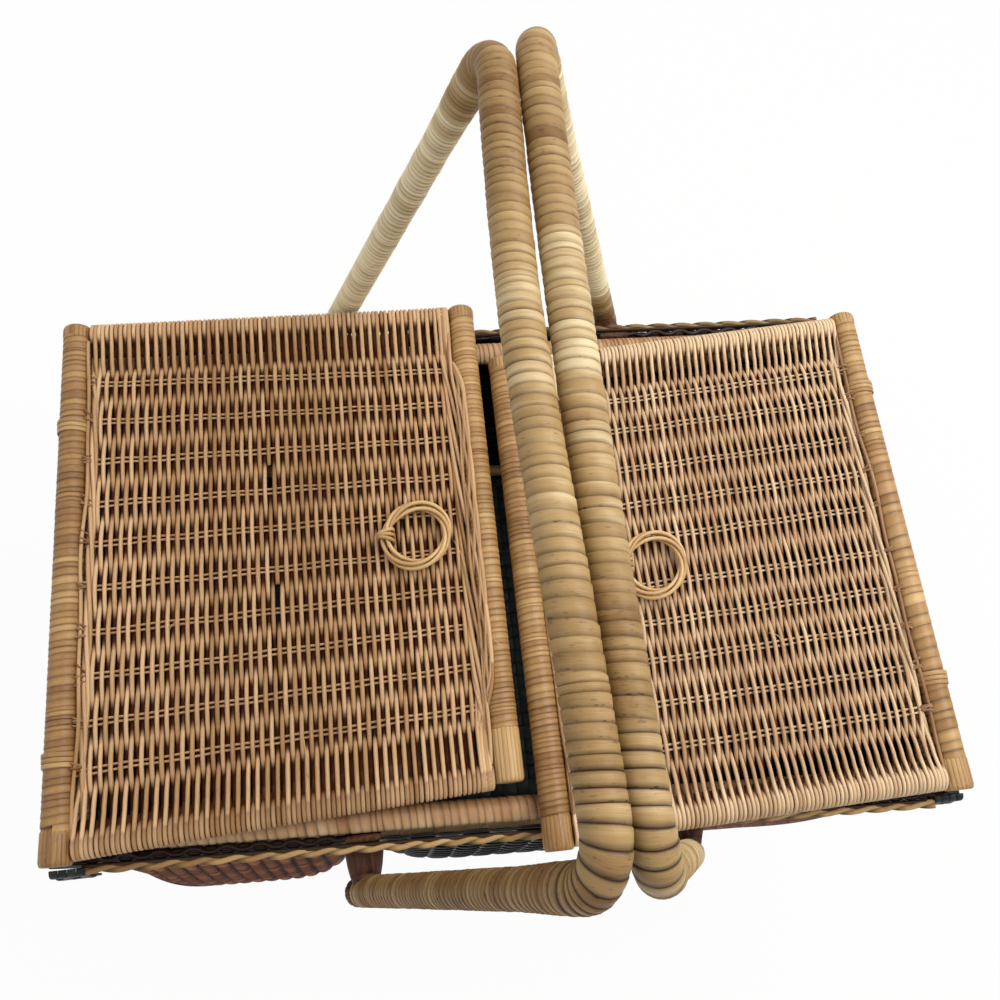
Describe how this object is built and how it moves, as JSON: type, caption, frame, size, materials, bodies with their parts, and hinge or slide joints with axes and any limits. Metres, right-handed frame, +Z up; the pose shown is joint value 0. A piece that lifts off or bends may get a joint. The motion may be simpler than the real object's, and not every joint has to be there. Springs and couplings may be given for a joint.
{
  "type": "half-round wicker picnic basket",
  "caption": "Half-round woven picnic basket with hinged flat lids, ring pulls and cane-wrapped swing handles that lean together over the middle.",
  "frame": {"origin": "on the ground under the middle of the basket", "axes": "+X along the length towards the right lid, +Y towards the back wall, +Z up"},
  "size_m": [0.51, 0.3824, 0.4677],
  "materials": {
    "honey_cane": "satin flat cane wrapped round poles",
    "lid_weave": "satin round reed, woven",
    "green_weave": "satin dark green stained strips, woven",
    "red_weave": "satin reddish brown stained reed, woven",
    "dark_wood": "satin turned wood"
  },
  "bodies": {
    "basket": {"sole": "green_weave", "curved_sheet": "green_weave", "front_left_panel": "red_weave", "front_centre_panel": "green_weave", "front_right_panel": "red_weave", "front_rim": "honey_cane", "front_hoop": "honey_cane", "front_braid": "honey_cane", "front_left_corner": "green_weave", "front_left_post": "dark_wood", "front_left_peg": "dark_wood", "front_left_spacer": "dark_wood", "front_right_corner": "green_weave", "front_right_post": "dark_wood", "front_right_peg": "dark_wood", "front_right_spacer": "dark_wood", "back_left_panel": "red_weave", "back_centre_panel": "green_weave", "back_right_panel": "red_weave", "back_rim": "honey_cane", "back_hoop": "honey_cane", "back_braid": "honey_cane", "back_left_corner": "green_weave", "back_left_post": "dark_wood", "back_left_peg": "dark_wood", "back_left_spacer": "dark_wood", "back_right_corner": "green_weave", "back_right_post": "dark_wood", "back_right_peg": "dark_wood", "back_right_spacer": "dark_wood", "left_rim": "honey_cane", "left_front_hinge_loop": "honey_cane", "left_back_hinge_loop": "honey_cane", "right_rim": "honey_cane", "right_front_hinge_loop": "honey_cane", "right_back_hinge_loop": "honey_cane"},
    "left_lid": {"left_lid_outer_pole": "honey_cane", "left_lid_inner_pole": "honey_cane", "left_lid_front_rail": "lid_weave", "left_lid_back_rail": "lid_weave", "left_lid_panel": "lid_weave", "left_ring_tie": "honey_cane"},
    "right_lid": {"right_lid_outer_pole": "honey_cane", "right_lid_inner_pole": "honey_cane", "right_lid_front_rail": "lid_weave", "right_lid_back_rail": "lid_weave", "right_lid_panel": "lid_weave", "right_ring_tie": "honey_cane"},
    "left_ring": {"left_ring": "honey_cane"},
    "right_ring": {"right_ring": "honey_cane"},
    "left_handle": {"left_handle": "honey_cane"},
    "right_handle": {"right_handle": "honey_cane"}
  },
  "joints": [
    {"name": "left_lid_hinge", "type": "hinge", "parent": "basket", "child": "left_lid", "pos_m": [-0.2456, 0, 0.2513], "axis": [0, -1, 0], "range_deg": [0, 110]},
    {"name": "right_lid_hinge", "type": "hinge", "parent": "basket", "child": "right_lid", "pos_m": [0.2456, 0, 0.2513], "axis": [0, 1, 0], "range_deg": [0, 110]},
    {"name": "left_handle_swing", "type": "hinge", "parent": "basket", "child": "left_handle", "pos_m": [-0.092, 0, 0.2198], "axis": [0, -1, 0], "range_deg": [0, 129]},
    {"name": "right_handle_swing", "type": "hinge", "parent": "basket", "child": "right_handle", "pos_m": [0.092, 0, 0.2198], "axis": [0, 1, 0], "range_deg": [0, 129]},
    {"name": "left_ring_flip", "type": "hinge", "parent": "left_lid", "child": "left_ring", "pos_m": [-0.069, 0.0143, 0.25855], "axis": [0, -1, 0], "range_deg": [0, 100]},
    {"name": "right_ring_flip", "type": "hinge", "parent": "right_lid", "child": "right_ring", "pos_m": [0.069, -0.01383, 0.25855], "axis": [0, -1, 0], "range_deg": [0, 100]}
  ]
}
